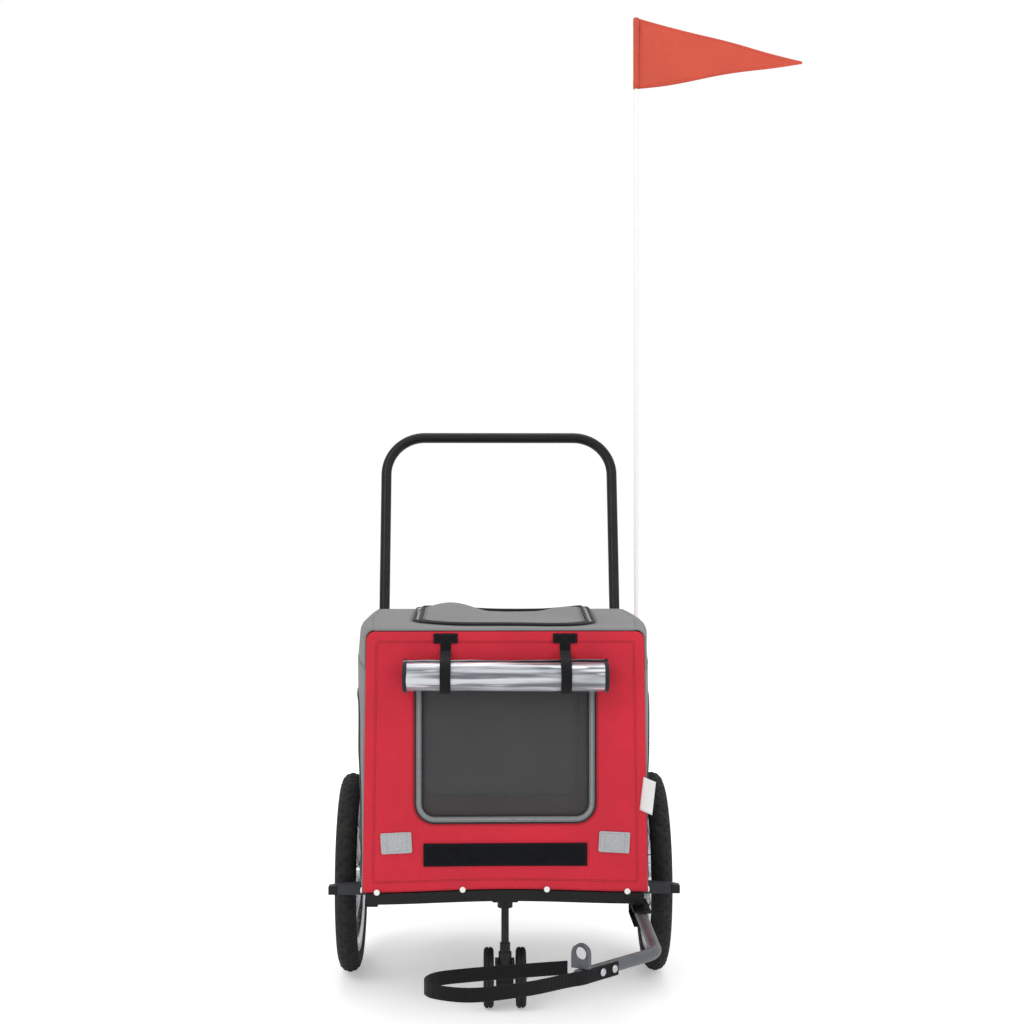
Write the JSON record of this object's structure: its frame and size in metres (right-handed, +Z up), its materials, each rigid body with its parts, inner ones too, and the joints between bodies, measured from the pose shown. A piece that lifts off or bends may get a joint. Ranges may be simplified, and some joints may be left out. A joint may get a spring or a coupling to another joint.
{
  "type": "pet bicycle trailer and stroller",
  "caption": "Bicycle trailer for a pet or cargo with a folding hooped cloth cabin, front caster, tow arm, push handle and safety flag.",
  "frame": {"origin": "in the middle of the floor mat's top face, straight above the wheel axle and 188.6 mm over the ground", "axes": "+Z up, front of the trailer towards -Y, +X towards the trailer's own left side, where the tow bar is"},
  "size_m": [0.7851, 1.1235, 1.5722],
  "materials": {
    "frame_black": "satin black powder coat",
    "bare_steel": "bright zinc plate",
    "tube_grey": "grey satin steel tube",
    "rim_silver": "satin silver",
    "tyre_black": "matt rubber with small tread blocks",
    "caster_tread": "matt solid rubber",
    "plastic_black": "fine moulded texture",
    "guard_grey": "dark grey satin coat",
    "fabric_red": "coated polyester, fine plain weave",
    "fabric_grey": "coated polyester, fine plain weave",
    "mat_grey": "quilted polyester over thin foam",
    "mesh_dark": "open net",
    "webbing_black": "ribbed webbing",
    "zip_black": "woven zip tape with moulded teeth",
    "cover_clear": "clear soft film, rolled up",
    "reflector_white": "retro-reflective",
    "pole_white": "glass fibre rod, satin",
    "flag_orange": "thin dyed polyester"
  },
  "bodies": {
    "chassis": {"base_frame": "frame_black", "floor_board": "plastic_black", "floor_mat": "mat_grey", "guard_bar_left": "guard_grey", "guard_bar_right": "guard_grey", "guard_cap_left": "plastic_black", "guard_cap_right": "plastic_black", "handle_bracket_left": "frame_black", "handle_bracket_right": "frame_black", "flag_holder": "plastic_black", "tow_bracket": "frame_black", "tow_bolt": "bare_steel", "caster_socket": "frame_black", "hoop_bolt_front_left": "bare_steel", "hoop_bolt_front_right": "bare_steel", "hoop_bolt_rear_left": "bare_steel", "hoop_bolt_rear_right": "bare_steel", "side_panel_left": "fabric_grey", "side_panel_right": "fabric_grey", "stub_axle_left": "bare_steel", "stub_axle_right": "bare_steel"},
    "roof": {"roof_cover": "fabric_grey", "roof_zip": "zip_black"},
    "roof_flap": {"roof_flap": "fabric_grey"},
    "front_hoop": {"front_hoop": "frame_black", "front_panel": "fabric_red", "window_zip": "zip_black", "window_mesh": "mesh_dark", "rolled_cover": "cover_clear", "tie_strap_left": "webbing_black", "tie_strap_right": "webbing_black", "velcro_strip": "webbing_black", "reflector_left": "reflector_white", "reflector_right": "reflector_white"},
    "rear_hoop": {"rear_hoop": "frame_black", "rear_panel": "fabric_red", "rear_mesh": "mesh_dark"},
    "wheel_left": {"tyre_left": "tyre_black", "wheel_rim_left": "rim_silver"},
    "wheel_right": {"tyre_right": "tyre_black", "wheel_rim_right": "rim_silver"},
    "axle_button_left": {"axle_button_left": "bare_steel"},
    "axle_button_right": {"axle_button_right": "bare_steel"},
    "caster_fork": {"caster_fork": "plastic_black", "caster_axle": "bare_steel"},
    "caster_wheel_left": {"caster_wheel_left": "caster_tread"},
    "caster_wheel_right": {"caster_wheel_right": "caster_tread"},
    "push_handle": {"handle_bar": "frame_black"},
    "handle_knob_left": {"handle_knob_left": "plastic_black"},
    "handle_knob_right": {"handle_knob_right": "plastic_black"},
    "flag_pole": {"flag_pole": "pole_white", "flag": "flag_orange"},
    "tow_bar": {"tow_bar": "tube_grey", "safety_strap": "webbing_black", "strap_bolt_1": "bare_steel", "strap_bolt_2": "bare_steel", "hitch_eye": "tube_grey"}
  },
  "joints": [
    {"name": "cabin_fold", "type": "hinge", "parent": "chassis", "child": "front_hoop", "pos_m": [0, -0.255, 0.0094], "axis": [-1, 0, 0], "range_deg": [0, 88], "deforming": ["side_panel_left", "side_panel_right", "roof_cover", "roof_zip", "roof_flap", "front_panel", "window_mesh", "window_zip", "rear_panel", "rear_mesh"]},
    {"name": "rear_hoop_fold", "type": "hinge", "parent": "chassis", "child": "rear_hoop", "pos_m": [0, 0.24, 0.0094], "axis": [1, 0, 0], "range_deg": [0, 70.4]},
    {"name": "roof_drop", "type": "slide", "parent": "chassis", "child": "roof", "axis": [0, 0, -1], "range_m": [0, 0.186]},
    {"name": "roof_flap_open", "type": "hinge", "parent": "roof", "child": "roof_flap", "pos_m": [0, 0.091, 0.3584], "axis": [-1, 0, 0], "range_deg": [0, 150]},
    {"name": "wheel_left_spin", "type": "hinge", "parent": "chassis", "child": "wheel_left", "pos_m": [0.2346, 0, -0.0361], "axis": [1, 0, 0], "continuous": true},
    {"name": "wheel_right_spin", "type": "hinge", "parent": "chassis", "child": "wheel_right", "pos_m": [-0.2346, 0, -0.0361], "axis": [1, 0, 0], "continuous": true},
    {"name": "axle_button_left_press", "type": "slide", "parent": "chassis", "child": "axle_button_left", "axis": [-1, 0, 0], "range_m": [0, 0.0025], "stiffness_N_per_m": 400},
    {"name": "axle_button_right_press", "type": "slide", "parent": "chassis", "child": "axle_button_right", "axis": [1, 0, 0], "range_m": [0, 0.0025], "stiffness_N_per_m": 400},
    {"name": "caster_swivel", "type": "hinge", "parent": "chassis", "child": "caster_fork", "pos_m": [0, -0.235, -0.0386], "axis": [0, 0, 1], "continuous": true},
    {"name": "caster_wheel_left_spin", "type": "hinge", "parent": "caster_fork", "child": "caster_wheel_left", "pos_m": [0.0232, -0.21, -0.1456], "axis": [1, 0, 0], "continuous": true},
    {"name": "caster_wheel_right_spin", "type": "hinge", "parent": "caster_fork", "child": "caster_wheel_right", "pos_m": [-0.0232, -0.21, -0.1456], "axis": [1, 0, 0], "continuous": true},
    {"name": "handle_fold", "type": "hinge", "parent": "chassis", "child": "push_handle", "pos_m": [0, 0.275, 0.0014], "axis": [-1, 0, 0], "range_deg": [0, 75]},
    {"name": "handle_knob_left_turn", "type": "hinge", "parent": "chassis", "child": "handle_knob_left", "pos_m": [0.218, 0.275, 0.0014], "axis": [1, 0, 0], "continuous": true},
    {"name": "handle_knob_right_turn", "type": "hinge", "parent": "chassis", "child": "handle_knob_right", "pos_m": [-0.218, 0.275, 0.0014], "axis": [1, 0, 0], "continuous": true},
    {"name": "flag_pole_lift", "type": "slide", "parent": "chassis", "child": "flag_pole", "axis": [0, 0, 1], "range_m": [0, 0.045]},
    {"name": "tow_bar_swing", "type": "hinge", "parent": "chassis", "child": "tow_bar", "pos_m": [0.1905, -0.24, -0.0421], "axis": [0, 0, 1], "range_deg": [-35, 20]}
  ],
  "couplings": [
    {"joint": "rear_hoop_fold", "follows": "cabin_fold", "ratio": 0.8},
    {"joint": "roof_drop", "follows": "cabin_fold", "m_per_rad": 0.12045}
  ]
}
